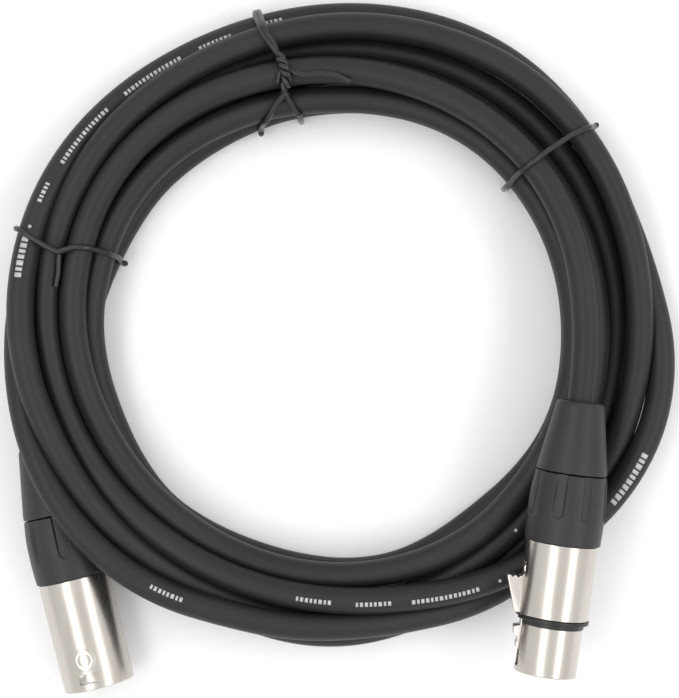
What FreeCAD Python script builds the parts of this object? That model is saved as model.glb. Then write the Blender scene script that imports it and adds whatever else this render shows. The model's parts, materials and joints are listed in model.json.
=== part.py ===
"""Wound microphone cable with its two three-pin connectors and three twist ties.

Frame: +Z up, origin on the table under the middle of the whole object's box. The coil is a flat
ring; bearings round it are measured clockwise from +Y, seen from above. Both connectors point
towards -Y. Lengths are millimetres, angles are degrees.

Each connector is modelled along its own axis: local +Z runs from the rear of its gland to its
mating end, and local +X is the side that holds the latch or its window.
"""
import FreeCAD, Part
import Sketcher
import math
import os

from FreeCAD import Placement, Rotation, Vector

DIMENSIONS = {
    "cable_radius": 3.5,
    # ring of wound cable
    "coil_centre_x": -1.25,
    "coil_centre_y": 4.0,
    "coil_height": 13.2,
    "hump_bearing": 242.0,
    "hump_top": 26.2,
    "hump_inner_radius": 73.5,
    "hump_foot_half": 29.0,
    "hump_crest_half": 12.0,
    # twist ties
    "tie_wire_radius": 0.75,
    "tie_gap": 0.4,
    "tie_corner": 3.0,
    "twist_radius": 1.3,
    "twist_length": 11.0,
    # where the two connectors lie
    "male_mouth_x": -77.2,
    "male_mouth_y": -25.4,
    "male_mouth_z": 9.9,
    "male_swing": 13.8,
    "male_roll": 7.0,
    "female_mouth_x": 61.5,
    "female_mouth_y": -13.6,
    "female_mouth_z": 24.2,
    "female_swing": -7.4,
    "female_droop": 2.0,
    # gland and collar, the same on both connectors
    "gland_mouth_radius": 6.0,
    "gland_shoulder_radius": 9.0,
    "gland_length": 18.1,
    "collar_start": 18.4,
    "collar_rear_radius": 9.0,
    "collar_swell_at": 24.0,
    "collar_swell_radius": 9.85,
    "collar_front_radius": 9.65,
    "collar_wall_end": 21.2,
    "cable_clearance": 0.1,
    "spigot_radius": 4.6,
    "spigot_end": 21.0,
    "flute_count": 8,
    "flute_width": 3.2,
    "flute_run": 9.7,
    "flute_floor": 8.7,
    "flute_lean": 3.8,
    "male_flute_turn": -11.0,
    "female_flute_turn": 19.0,
    # inside the collar
    "neck_start": 22.4,
    "neck_radius": 8.1,
    "neck_bore_radius": 6.9,
    "collet_start": 21.4,
    "collet_length": 10.6,
    "collet_rear_radius": 6.2,
    "collet_front_radius": 6.7,
    "collet_slit": 0.8,
    "jacket_end": 33.4,
    "braid_end": 35.6,
    "braid_radius": 2.9,
    # shells
    "male_shell_radius": 9.15,
    "male_shell_start": 35.3,
    "male_length": 63.9,
    "male_bore_radius": 8.05,
    "window_width": 5.2,
    "window_length": 2.6,
    "window_setback": 4.4,
    "female_shell_radius": 9.0,
    "female_shell_start": 36.1,
    "female_step_start": 55.1,
    "ring_flange_length": 0.9,
    "ring_flange_radius": 9.35,
    "ring_band_length": 2.2,
    "ring_band_radius": 8.2,
    "nose_radius": 7.95,
    "nose_bore_radius": 7.1,
    "female_length": 69.8,
    # carriers and contacts
    "contact_ring": 4.4,
    "contact_radius": 1.2,
    "contact_root_radius": 1.45,
    "conductor_radius": 0.75,
    "male_carrier_start": 43.6,
    "male_carrier_length": 4.6,
    "pin_start": 41.4,
    "pin_end": 61.0,
    "female_carrier_start": 44.6,
    "female_carrier_front": 69.6,
    "socket_start": 42.0,
    "socket_radius": 1.75,
    "socket_depth": 13.0,
    # latch
    "latch_half_width": 2.3,
    "latch_slot_half": 2.7,
    "latch_slot_start": 42.0,
    "latch_slot_end": 68.4,
    "latch_floor": 7.3,
    "latch_pivot_at": 43.6,
    "latch_pivot_out": 7.7,
    "latch_pin_radius": 0.6,
    "latch_pin_half": 3.2,
    "latch_pad_start": 45.7,
    "latch_pad_end": 54.9,
    "latch_pad_top": 12.9,
    "latch_pad_front_top": 9.9,
    "latch_notch_width": 0.9,
    "latch_notch_depth": 0.5,
    "latch_low_notch": 10.1,
    "latch_high_notch": 11.5,
    "latch_arm_thick": 0.7,
    "latch_tooth_start": 58.4,
    "latch_tooth_end": 60.8,
    "latch_tooth_top": 9.6,
    "latch_tip_end": 64.2,
    "latch_tip_top": 8.5,
    "latch_well_floor": 5.4,
    "spring_at": 50.0,
    "spring_radius": 1.5,
    "spring_wire": 0.25,
}

# Ring outline, every 30 degrees from bearing 15: outer radius, inner radius.
RING_STATIONS = [
    (87.1, 57.6), (87.1, 59.2), (85.4, 59.1), (90.0, 59.5), (84.2, 58.2), (81.0, 59.6),
    (81.9, 58.0), (84.8, 59.5), (85.5, 58.5), (84.6, 58.7), (84.9, 56.9), (84.6, 56.5),
]
for number, (outer, inner) in enumerate(RING_STATIONS):
    bearing = 15 + 30 * number
    DIMENSIONS[f"ring_outer_{bearing}"] = outer
    DIMENSIONS[f"ring_inner_{bearing}"] = inner

# Ties: bearing round the ring, outer reach, inner reach, and how far in its twist lies.
TIES = {
    "tie_top": (345.0, 85.4, 54.0, 68.0),
    "tie_left": (288.4, 85.5, 55.8, 73.0),
    "tie_right": (51.7, 87.6, 57.4, 72.0),
}
for tie, (bearing, outer, inner, twist) in TIES.items():
    DIMENSIONS[f"{tie}_bearing"] = bearing
    DIMENSIONS[f"{tie}_outer"] = outer
    DIMENSIONS[f"{tie}_inner"] = inner
    DIMENSIONS[f"{tie}_twist"] = twist

doc = FreeCAD.newDocument("xlr_cable_coil")
sheet = doc.addObject("Spreadsheet::Sheet", "Sizes")
for row, (alias, number) in enumerate(DIMENSIONS.items(), start=1):
    sheet.set(f"A{row}", alias)
    sheet.set(f"B{row}", str(number))
    sheet.setAlias(f"B{row}", alias)
doc.recompute()

SUBPARTS = []


def size(alias):
    return float(sheet.get(alias))


def cells(expression):
    """Write sheet aliases in an expression as Sizes.alias."""
    words = expression.split()
    return " ".join(f"Sizes.{word}" if word in DIMENSIONS else word for word in words)


def bind(item, **expressions):
    for prop, expression in expressions.items():
        item.setExpression(prop, cells(expression))
    return item


def place(item, along="0", out="0", side="0"):
    """Move a primitive inside its own connector's frame."""
    item.setExpression("Placement.Base.z", cells(along))
    item.setExpression("Placement.Base.x", cells(out))
    item.setExpression("Placement.Base.y", cells(side))
    return item


def cylinder(radius, length, along="0", out="0", side="0"):
    item = doc.addObject("Part::Cylinder", "Cylinder")
    bind(item, Radius=radius, Height=length)
    return place(item, along, out, side)


def cone(rear_radius, front_radius, length, along="0"):
    item = doc.addObject("Part::Cone", "Cone")
    bind(item, Radius1=rear_radius, Radius2=front_radius, Height=length)
    return place(item, along)


def box(out_size, side_size, length, along, out, side):
    item = doc.addObject("Part::Box", "Box")
    bind(item, Length=out_size, Width=side_size, Height=length)
    return place(item, along, out, side)


def fuse(items):
    joined = doc.addObject("Part::MultiFuse", "Fusion")
    joined.Shapes = items
    joined.Refine = True
    return joined


def cut(base, tools):
    result = doc.addObject("Part::Cut", "Cut")
    result.Base = base
    result.Tool = tools[0] if len(tools) == 1 else fuse(tools)
    return result


def gather(items):
    """Hold primitives as they are, so that the group can be placed as one."""
    group = doc.addObject("Part::Compound", "Group")
    group.Links = items
    return group


def subpart(item, label, placement=None):
    """Name a finished piece and put it where it belongs."""
    item.Label = label
    if placement is not None:
        item.Placement = placement
    SUBPARTS.append(item)
    return item


def shape_part(label, shape):
    """A piece whose shape is worked out in code."""
    item = doc.addObject("Part::Feature", label)
    item.Shape = shape
    item.Placement = Placement()
    return subpart(item, label)


# ---------------------------------------------------------------- frames

def connector_frame(kind, droop, lift):
    """Placement of a connector: its axis swings from -Y towards +X and droops below level.

    Its latch side points level, to the connector's right, and is raised by the lift angle.
    """
    swing = math.radians(size(f"{kind}_swing"))
    drop = math.radians(droop)
    axis = Vector(math.sin(swing) * math.cos(drop), -math.cos(swing) * math.cos(drop), -math.sin(drop))
    level_side = Vector(-math.cos(swing), -math.sin(swing), 0)
    raised = math.radians(lift)
    latch_side = level_side * math.cos(raised) + Vector(0, 0, math.sin(raised))
    mouth = Vector(size(f"{kind}_mouth_x"), size(f"{kind}_mouth_y"), size(f"{kind}_mouth_z"))
    return Placement(mouth, Rotation(latch_side, axis.cross(latch_side), axis, "ZXY"))


MALE = connector_frame("male", 0.0, 90 - size("male_roll"))
FEMALE = connector_frame("female", size("female_droop"), 0.0)
CONTACT_ANGLES = (60, 300, 180)


def ring_point(bearing, radius, height=0.0):
    """Point at a bearing and radius from the coil's own centre."""
    turn = math.radians(bearing)
    return Vector(size("coil_centre_x") + radius * math.sin(turn),
                  size("coil_centre_y") + radius * math.cos(turn), height)


# ---------------------------------------------------------------- cable

def tube(points, radius, closed=False, corner=None):
    """Round bar along straight runs joined by tangent arcs."""
    count = len(points)
    turns = range(count) if closed else range(1, count - 1)
    pieces, last, first = [], None, None
    for index in turns:
        here, before, after = points[index], points[index - 1], points[(index + 1) % count]
        back, ahead = (before - here).normalize(), (after - here).normalize()
        half_turn = (math.pi - back.getAngle(ahead)) / 2
        shorter = min((before - here).Length, (after - here).Length)
        setback = corner if corner else 0.45 * shorter
        if not corner:
            print(f"cable bend radius {setback / math.tan(half_turn):.1f} mm")
        start, end = here + back * setback, here + ahead * setback
        bisector = (back + ahead).normalize()
        bend = setback / math.tan(half_turn)
        middle = here + bisector * (bend / math.cos(half_turn) - bend)
        run_from = last if last is not None else (None if closed else points[0])
        if run_from is not None:
            pieces.append(Part.LineSegment(run_from, start).toShape())
        else:
            first = start
        pieces.append(Part.Arc(start, middle, end).toShape())
        last = end
    pieces.append(Part.LineSegment(last, first if closed else points[-1]).toShape())
    spine = Part.Wire(pieces)
    origin = pieces[0].Vertexes[0].Point if closed else points[0]
    heading = pieces[0].tangentAt(pieces[0].FirstParameter)
    section = Part.Wire(Part.makeCircle(radius, origin, heading))
    bar = spine.makePipeShell([section], True, False)
    expected = math.pi * radius ** 2 * spine.Length
    if abs(bar.Volume - expected) > 0.01 * expected:
        raise ValueError(f"tube volume {bar.Volume:.1f}, expected {expected:.1f}")
    return bar


def ring_outline(side):
    """Closed smooth outline of the ring's outer or inner edge, at table level."""
    bearings = [15 + 30 * number for number in range(len(RING_STATIONS))]
    points = [ring_point(bearing, size(f"ring_{side}_{bearing}")) for bearing in bearings]
    curve = Part.BSplineCurve()
    curve.interpolate(Points=points, PeriodicFlag=True)
    return Part.Wire(curve.toShape())


def tie_loop(tie, radius):
    """The tie's wire: a rounded rectangle round the ring's section."""
    bearing = size(f"{tie}_bearing")
    low = size("tie_wire_radius") + 0.1
    high = size("coil_height") + size("tie_wire_radius") + 0.2
    corners = [ring_point(bearing, size(f"{tie}_inner"), low), ring_point(bearing, size(f"{tie}_outer"), low),
               ring_point(bearing, size(f"{tie}_outer"), high), ring_point(bearing, size(f"{tie}_inner"), high)]
    return tube(corners, radius, closed=True, corner=size("tie_corner"))


def cable_hump(block):
    """The strands that climb over the male connector's gland, inside the ring's outline."""
    bearing, height, top = size("hump_bearing"), size("coil_height"), size("hump_top")
    foot, crest = size("hump_foot_half"), size("hump_crest_half")
    turn = math.radians(bearing)
    forward = Vector(math.cos(turn), -math.sin(turn), 0)
    base = ring_point(bearing, size("hump_inner_radius"))
    profile = [(-foot, height - 6), (-foot, height), (-crest, top), (crest, top), (foot, height), (foot, height - 6)]
    corners = [base + forward * along + Vector(0, 0, up) for along, up in profile]
    face = Part.Face(Part.makePolygon(corners + corners[:1]))
    outward = Vector(math.sin(turn), math.cos(turn), 0)
    return face.extrude(outward * 20).common(block)


def cable_coil():
    rim = Part.Face(ring_outline("outer"))
    hole = Part.Face(ring_outline("inner"))
    height = size("coil_height")
    ring = rim.extrude(Vector(0, 0, height)).cut(hole.extrude(Vector(0, 0, height)))
    ring = ring.fuse(cable_hump(rim.extrude(Vector(0, 0, size("hump_top")))))
    # room for the male connector, which lies under the outer strands
    room = Part.makeCylinder(size("collar_swell_radius") + 0.4, size("male_length"), Vector(0, 0, -1))
    room.Placement = MALE.multiply(room.Placement)
    ring = ring.cut(room)
    for tie in TIES:
        ring = ring.cut(tie_loop(tie, size("tie_wire_radius") + size("tie_gap")))
    return ring.removeSplitter()


def cable_tails():
    """The cable between each gland's mouth and the ring it is wound into."""
    male_route = [MALE.multVec(Vector(0, 0, 0)), MALE.multVec(Vector(0, 0, -12)),
                  ring_point(270, 77.5, 7.0), ring_point(284, 74.2, 4.1)]
    female_route = [FEMALE.multVec(Vector(0, 0, 0)), FEMALE.multVec(Vector(0, 0, -12)),
                    ring_point(79, 64.9, 21.6), ring_point(67, 65.8, 15.9), ring_point(56, 66.6, 10.6)]
    shape_part("cable_tail_male", tube(male_route, size("cable_radius")))
    shape_part("cable_tail_female", tube(female_route, size("cable_radius")))


def twist_tie(tie):
    """Loop of wire with its ends twisted together on top of the ring."""
    bearing, along = size(f"{tie}_bearing"), size(f"{tie}_twist")
    top = size("coil_height") + size("twist_radius") + 0.3
    turn = math.radians(bearing)
    outward = Vector(math.sin(turn), math.cos(turn), 0)
    start = ring_point(bearing, along, top) - outward * (size("twist_length") / 2)
    twist = Part.makeCylinder(size("twist_radius"), size("twist_length"), start, outward)
    return tie_loop(tie, size("tie_wire_radius")).fuse(twist)


# ---------------------------------------------------------------- connector pieces

def rear_gland(kind, frame):
    """Tapered strain relief on a spigot that sits in the collar, with the cable's hole through it."""
    taper = cone("gland_mouth_radius", "gland_shoulder_radius", "gland_length")
    spigot = cylinder("spigot_radius", "spigot_end - gland_length + 1", "gland_length - 1")
    hole = cylinder("cable_radius + cable_clearance", "spigot_end + 2", "-1")
    subpart(cut(fuse([taper, spigot]), [hole]), f"{kind}_gland", frame)


def screw_collar(kind, frame):
    """Barrel-shaped cup that screws over the shell's neck, with grip flutes round its outside."""
    rear = cone("collar_rear_radius", "collar_swell_radius", "collar_swell_at - collar_start", "collar_start")
    front = cone("collar_swell_radius", "collar_front_radius", f"{kind}_shell_start - collar_swell_at - 0.1",
                 "collar_swell_at")
    hole = cylinder("spigot_radius + 0.05", "collar_wall_end", "collar_start - 1")
    socket = cylinder("neck_radius + 0.05", f"{kind}_shell_start", "collar_wall_end")
    count = int(size("flute_count"))
    flutes = [flute(size(f"{kind}_flute_turn") + 360 * index / count) for index in range(count)]
    subpart(cut(fuse([rear, front]), [hole, socket] + flutes), f"{kind}_collar", frame)


def flute(turn):
    """Cutter for a groove that is open at the collar's shoulder and round at its front end."""
    groove = box("3", "flute_width", "flute_run + 2", "-2", "0", "-0.5 * flute_width")
    end = doc.addObject("Part::Cylinder", "FluteEnd")
    bind(end, Radius="0.5 * flute_width", Height="3")
    end.Placement = Placement(Vector(), Rotation(Vector(0, 1, 0), 90))
    place(end, "flute_run")
    cutter = gather([fuse([groove, end])])
    floor = Placement(Vector(size("flute_floor"), 0, size("collar_start")),
                      Rotation(Vector(0, 1, 0), size("flute_lean")))
    cutter.Placement = Placement(Vector(), Rotation(Vector(0, 0, 1), turn)).multiply(floor)
    return cutter


def collet(kind, frame):
    """Clamping sleeve on the cable jacket, slit from the front into four jaws."""
    body = cone("collet_rear_radius", "collet_front_radius", "collet_length", "collet_start")
    hole = cylinder("cable_radius + 0.05", "collet_length + 2", "collet_start - 1")
    slit_start, slit_length = "collet_start + 3", "collet_length"
    across = box("20", "collet_slit", slit_length, slit_start, "-10", "-0.5 * collet_slit")
    upright = box("collet_slit", "20", slit_length, slit_start, "-0.5 * collet_slit", "-10")
    subpart(cut(body, [hole, across, upright]), f"{kind}_collet", frame)


def conductors(kind, frame, contact_start):
    """Three insulated cores, each from the jacket's end to its own contact."""
    cores = []
    radius = size("conductor_radius")
    for angle in CONTACT_ANGLES:
        turn = math.radians(angle)
        inner = Vector(math.cos(turn), math.sin(turn), 0) * 1.3
        outer = Vector(math.cos(turn), math.sin(turn), 0) * size("contact_ring")
        start = inner + Vector(0, 0, size("braid_end") + 0.6)
        end = outer + Vector(0, 0, contact_start - 0.8)
        cores.append(Part.makeCylinder(radius, (end - start).Length, start, end - start))
    item = doc.addObject("Part::Feature", f"{kind}_conductors")
    item.Shape = Part.makeCompound(cores)
    subpart(item, f"{kind}_conductors", frame)


def cable_end(kind, frame):
    """The stretch of cable that the gland and the collet hold straight."""
    subpart(gather([cylinder("cable_radius", "jacket_end")]), f"{kind}_cable_end", frame)


def braid(kind, frame):
    """Screen and filler left where the jacket is stripped back."""
    stub = cylinder("braid_radius", "braid_end - jacket_end - 0.05", "jacket_end + 0.05")
    subpart(gather([stub]), f"{kind}_braid_end", frame)


def contact_hole_sketch(body, name, radius):
    """Three circles on the contact ring."""
    sketch = body.newObject("Sketcher::SketchObject", name)
    plane = [item for item in body.Origin.OriginFeatures if item.Role == "XY_Plane"][0]
    sketch.AttachmentSupport = (plane, [""])
    sketch.MapMode = "FlatFace"
    for index, angle in enumerate(CONTACT_ANGLES):
        turn = math.radians(angle)
        centre = Vector(math.cos(turn), math.sin(turn), 0) * size("contact_ring")
        sketch.addGeometry(Part.Circle(centre, Vector(0, 0, 1), size("contact_radius")), False)
        add_circle_sizes(sketch, index, radius, centre, f"contact_ring * cos( {angle} deg )",
                         f"contact_ring * sin( {angle} deg )")
    return sketch


def add_circle_sizes(sketch, index, radius, centre, x_place, y_place):
    """Tie a circle's radius and centre to the sheet; a centre on an axis keeps to that axis."""
    sketch.addConstraint(Sketcher.Constraint("Radius", index, size("contact_radius")))
    sketch.setExpression(f"Constraints[{sketch.ConstraintCount - 1}]", cells(radius))
    for axis, value, expression in (("DistanceX", centre.x, x_place), ("DistanceY", centre.y, y_place)):
        if abs(value) < 1e-6:
            edge = -2 if axis == "DistanceX" else -1
            sketch.addConstraint(Sketcher.Constraint("PointOnObject", index, 3, edge))
        else:
            sketch.addConstraint(Sketcher.Constraint(axis, -1, 1, index, 3, value))
            sketch.setExpression(f"Constraints[{sketch.ConstraintCount - 1}]", cells(expression))


def carrier(label, frame, radius, start, length, hole_radius, clearances):
    """Insulating disc that holds the contacts: a padded circle with three holes."""
    body = doc.addObject("PartDesign::Body", "Carrier")
    sketch = body.newObject("Sketcher::SketchObject", "Disc")
    plane = [item for item in body.Origin.OriginFeatures if item.Role == "XY_Plane"][0]
    sketch.AttachmentSupport = (plane, [""])
    sketch.MapMode = "FlatFace"
    bind(sketch, **{"AttachmentOffset.Base.z": start})
    sketch.addGeometry(Part.Circle(Vector(0, 0, 0), Vector(0, 0, 1), 7.0), False)
    sketch.addConstraint(Sketcher.Constraint("Coincident", 0, 3, -1, 1))
    sketch.addConstraint(Sketcher.Constraint("Radius", 0, 7.0))
    sketch.setExpression("Constraints[1]", cells(radius))
    pad = body.newObject("PartDesign::Pad", "DiscPad")
    pad.Profile = sketch
    bind(pad, Length=length)
    doc.recompute()
    whole = pad.Shape.Volume
    holes = contact_hole_sketch(body, "ContactHoles", hole_radius)
    pocket = body.newObject("PartDesign::Pocket", "ContactPocket")
    pocket.Profile = holes
    pocket.Type = "ThroughAll"
    pocket.Reversed = True
    doc.recompute()
    if pocket.Shape.Volume >= whole:
        raise ValueError(f"{label}: the contact holes cut nothing")
    item = cut(body, clearances) if clearances else body
    subpart(item, label, frame)


def contact_place(angle):
    return {"out": f"contact_ring * cos( {angle} deg )", "side": f"contact_ring * sin( {angle} deg )"}


def contact_pin(number, angle):
    """Solid round contact with a thicker root in the carrier and a tapered tip."""
    root = cylinder("contact_root_radius", "male_carrier_start + male_carrier_length - pin_start", "pin_start",
                    **contact_place(angle))
    stem = cylinder("contact_radius", "pin_end - pin_start - 1", "pin_start", **contact_place(angle))
    tip = doc.addObject("Part::Cone", "Tip")
    bind(tip, Radius1="contact_radius", Radius2="0.5 * contact_radius", Height="1")
    place(tip, "pin_end - 1", **contact_place(angle))
    subpart(fuse([root, stem, tip]), f"male_contact_{number}", MALE)


def contact_socket(number, angle):
    """Tubular contact, open at the mating face."""
    barrel = cylinder("socket_radius", "female_carrier_front - socket_start", "socket_start", **contact_place(angle))
    bore = cylinder("contact_radius", "socket_depth + 1", "female_carrier_front - socket_depth",
                    **contact_place(angle))
    subpart(cut(barrel, [bore]), f"female_contact_{number}", FEMALE)


def male_shell():
    neck = cylinder("neck_radius", "male_shell_start - neck_start + 1", "neck_start")
    barrel = cylinder("male_shell_radius", "male_length - male_shell_start", "male_shell_start")
    neck_bore = cylinder("neck_bore_radius", "male_carrier_start - neck_start + 1", "neck_start - 1")
    mouth = cylinder("male_bore_radius", "male_length", "male_carrier_start - 2.2")
    window = box("4", "window_width", "window_length", "male_length - window_setback", "male_bore_radius - 1",
                 "-0.5 * window_width")
    subpart(cut(fuse([neck, barrel]), [neck_bore, mouth, window]), "male_shell", MALE)


def female_shell():
    neck = cylinder("neck_radius", "female_shell_start - neck_start + 1", "neck_start")
    barrel = cylinder("female_shell_radius", "female_step_start - female_shell_start", "female_shell_start")
    nose = cylinder("nose_radius", "female_length - female_step_start + 1", "female_step_start - 1")
    neck_bore = cylinder("neck_bore_radius", "female_carrier_start - neck_start", "neck_start - 1")
    nose_bore = cylinder("nose_bore_radius", "female_length", "female_carrier_start - 3")
    slot = box("6", "2 * latch_slot_half", "latch_slot_end - latch_slot_start", "latch_slot_start",
               "latch_well_floor", "-1 * latch_slot_half")
    pin_hole = latch_axle("latch_pin_radius + 0.01", "latch_pin_half + 0.1")
    subpart(cut(fuse([neck, barrel, nose]), [neck_bore, nose_bore, slot, pin_hole]), "female_shell", FEMALE)


def latch_axle(radius, half_length):
    """Round bar across the latch slot, on the latch's hinge line."""
    item = doc.addObject("Part::Cylinder", "Axle")
    bind(item, Radius=radius, Height=f"2 * ( {half_length} )")
    item.Placement = Placement(Vector(), Rotation(Vector(1, 0, 0), -90))
    return place(item, "latch_pivot_at", "latch_pivot_out", f"-1 * ( {half_length} )")


def ring_band():
    """Soft flanged ring on the step between barrel and nose, open where the latch passes."""
    flange = cylinder("ring_flange_radius", "ring_flange_length", "female_step_start + 0.1")
    hub = cylinder("ring_band_radius", "ring_band_length", "female_step_start + 0.1")
    hole = cylinder("nose_radius", "10", "female_step_start - 1")
    gap = box("6", "2 * latch_slot_half", "10", "female_step_start - 1", "latch_well_floor", "-1 * latch_slot_half")
    subpart(cut(fuse([flange, hub]), [hole, gap]), "female_ring_band", FEMALE)


def latch_block(start, end, top):
    """Full-width block of the lever, from its floor up to a stated height."""
    return box(f"{top} - latch_floor", "2 * latch_half_width", f"{end} - {start}", start, "latch_floor",
               "-1 * latch_half_width")


def latch_lever():
    """Push lever: hinge eye, notched and sloping thumb pad, thin arm, hook tooth and tip."""
    eye = doc.addObject("Part::Cylinder", "Eye")
    bind(eye, Radius="1.3", Height="2 * latch_half_width")
    eye.Placement = Placement(Vector(), Rotation(Vector(1, 0, 0), -90))
    place(eye, "latch_pivot_at", "latch_pivot_out", "-1 * latch_half_width")
    arm = latch_block("latch_pivot_at", "latch_tip_end", "latch_floor + latch_arm_thick")
    tooth = latch_block("latch_tooth_start", "latch_tooth_end", "latch_tooth_top")
    tip = latch_block("latch_tooth_end", "latch_tip_end", "latch_tip_top")
    hole = latch_axle("latch_pin_radius + 0.05", "latch_pin_half + 1")
    notches = [box("latch_notch_width", "2 * latch_half_width + 2", "latch_notch_depth + 1", "latch_pad_start - 1",
                   f"latch_{level}_notch - 0.5 * latch_notch_width", "-1 * latch_half_width - 1")
               for level in ("low", "high")]
    subpart(cut(fuse([eye, arm, thumb_pad(), tooth, tip]), [hole] + notches), "latch_lever", FEMALE)


def thumb_pad():
    """Wedge under the thumb, higher at its rear edge."""
    pad = doc.addObject("Part::Wedge", "ThumbPad")
    bind(pad, Xmin="latch_floor", Xmax="latch_pad_front_top", X2min="latch_floor", X2max="latch_pad_top",
         Zmin="-1 * latch_half_width", Zmax="latch_half_width", Z2min="-1 * latch_half_width",
         Z2max="latch_half_width", Ymin="0", Ymax="latch_pad_end - latch_pad_start")
    # the wedge tapers along its own Y, which is turned to point back along the connector
    pad.Placement = Placement(Vector(), Rotation(Vector(1, 0, 0), Vector(0, 0, -1), Vector(0, 1, 0), "XYZ"))
    return place(pad, "latch_pad_end")


def latch_pieces():
    latch_lever()
    subpart(gather([latch_axle("latch_pin_radius", "latch_pin_half")]), "latch_pin", FEMALE)
    outer = cylinder("spring_radius", "latch_floor - latch_well_floor - 0.1")
    hollow = cylinder("spring_radius - 2 * spring_wire", "4", "-1")
    coil = cut(outer, [hollow])
    inner_frame = Placement(Vector(size("latch_well_floor") + 0.05, 0, size("spring_at")),
                            Rotation(Vector(0, 1, 0), 90))
    subpart(coil, "latch_spring", FEMALE.multiply(inner_frame))


def ground_pieces():
    """Male tab and female ring that join the screen's contact to each shell."""
    tab = box("1.6", "3", "0.5", "male_carrier_start - 0.6", "male_bore_radius - 1.85", "-1.5")
    subpart(gather([tab]), "male_ground_tab", MALE)
    band = cylinder("nose_bore_radius - 0.05", "0.6", "female_carrier_start - 0.7")
    hollow = cylinder("nose_bore_radius - 0.9", "4", "female_carrier_start - 2")
    gap = box("6", "2 * latch_slot_half", "6", "female_carrier_start - 3", "latch_well_floor - 1",
              "-1 * latch_slot_half")
    subpart(cut(band, [hollow, gap]), "female_ground_ring", FEMALE)


shape_part("cable_coil", cable_coil())
cable_tails()
for tie in TIES:
    shape_part(tie, twist_tie(tie))

for kind, frame, contact_start in (("male", MALE, size("pin_start")), ("female", FEMALE, size("socket_start"))):
    rear_gland(kind, frame)
    screw_collar(kind, frame)
    collet(kind, frame)
    cable_end(kind, frame)
    braid(kind, frame)
    conductors(kind, frame, contact_start)

male_shell()
carrier("male_carrier", MALE, "male_bore_radius - 0.05", "male_carrier_start", "male_carrier_length",
        "contact_root_radius + 0.02", [])
for number, angle in enumerate(CONTACT_ANGLES, start=1):
    contact_pin(number, angle)

female_shell()
ring_band()
well = box("6", "2 * latch_slot_half + 0.4", "latch_slot_end - latch_slot_start", "latch_slot_start",
           "latch_well_floor", "-1 * latch_slot_half - 0.2")
carrier("female_carrier", FEMALE, "nose_bore_radius - 0.05", "female_carrier_start",
        "female_carrier_front - female_carrier_start", "socket_radius + 0.02", [well])
for number, angle in enumerate(CONTACT_ANGLES, start=1):
    contact_socket(number, angle)
latch_pieces()
ground_pieces()

doc.recompute()

for item in doc.Objects:
    if "Invalid" in item.State or "Error" in item.State:
        raise ValueError(f"{item.Label}: {item.State}")
os.makedirs("parts", exist_ok=True)
for item in SUBPARTS:
    if item.Shape.isNull() or not item.Shape.isValid():
        raise ValueError(f"{item.Label}: bad shape")
for item in SUBPARTS:
    item.Shape.exportStep(f"parts/{item.Label}.step")
    print(f"{item.Label}: {len(item.Shape.Solids)} solid, {item.Shape.Volume:.1f} mm3")

limits = FreeCAD.BoundBox()
for item in SUBPARTS:
    limits.add(item.Shape.BoundBox)
print(f"whole object {limits}")
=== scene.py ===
"""Looks of the wound microphone cable: its cord, ties and two connectors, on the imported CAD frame.

Shapes are worked out in millimetres and scaled to metres as they become Blender data. Bearings
round the coil are clockwise from +Y, seen from above. A connector's own frame has +Z from the
rear of its gland to its mating end, and +X on the side of its latch or window, as in the CAD.
"""
import json
import math

import bmesh
import bpy
import numpy as np
from mathutils import Matrix, Vector


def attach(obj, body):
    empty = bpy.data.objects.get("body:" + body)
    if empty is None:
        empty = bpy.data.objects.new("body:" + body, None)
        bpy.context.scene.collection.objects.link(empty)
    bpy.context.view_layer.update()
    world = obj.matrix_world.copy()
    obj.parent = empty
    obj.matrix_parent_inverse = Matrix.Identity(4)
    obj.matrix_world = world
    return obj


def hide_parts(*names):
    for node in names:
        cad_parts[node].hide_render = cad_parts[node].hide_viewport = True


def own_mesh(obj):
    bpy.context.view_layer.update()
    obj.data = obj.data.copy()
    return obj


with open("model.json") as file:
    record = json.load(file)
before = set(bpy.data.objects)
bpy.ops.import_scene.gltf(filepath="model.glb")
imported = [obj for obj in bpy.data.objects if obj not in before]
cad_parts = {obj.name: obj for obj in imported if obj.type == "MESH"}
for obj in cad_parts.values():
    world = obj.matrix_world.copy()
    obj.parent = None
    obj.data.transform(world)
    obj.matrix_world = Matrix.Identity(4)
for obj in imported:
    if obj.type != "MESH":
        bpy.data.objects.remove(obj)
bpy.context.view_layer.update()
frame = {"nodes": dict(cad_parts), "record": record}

MM = 0.001
RECORD = frame["record"]
NODES = frame["nodes"]
MOUNTS = {mount["name"]: mount for mount in RECORD["mounts"]}

CABLE_RADIUS = 3.5
COLLAR_START = 18.4
COIL_CENTRE = (-1.25, 4.0)
MALE_LENGTH = 63.9
FEMALE_LENGTH = 69.8
MALE_ROLL = 7.0


# ---------------------------------------------------------------- materials

def link(tree, source, socket, target, target_socket):
    tree.links.new(source.outputs[socket], target.inputs[target_socket])


def noise(tree, scale, stretch, detail=4.0):
    """Noise over the piece's own coordinates, in the row frame, stretched along any of its axes."""
    place = tree.nodes.new("ShaderNodeTexCoord")
    mapping = tree.nodes.new("ShaderNodeMapping")
    mapping.inputs["Scale"].default_value = stretch
    texture = tree.nodes.new("ShaderNodeTexNoise")
    texture.inputs["Scale"].default_value = scale
    texture.inputs["Detail"].default_value = detail
    link(tree, place, "Object", mapping, "Vector")
    link(tree, mapping, "Vector", texture, "Vector")
    return texture


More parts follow.
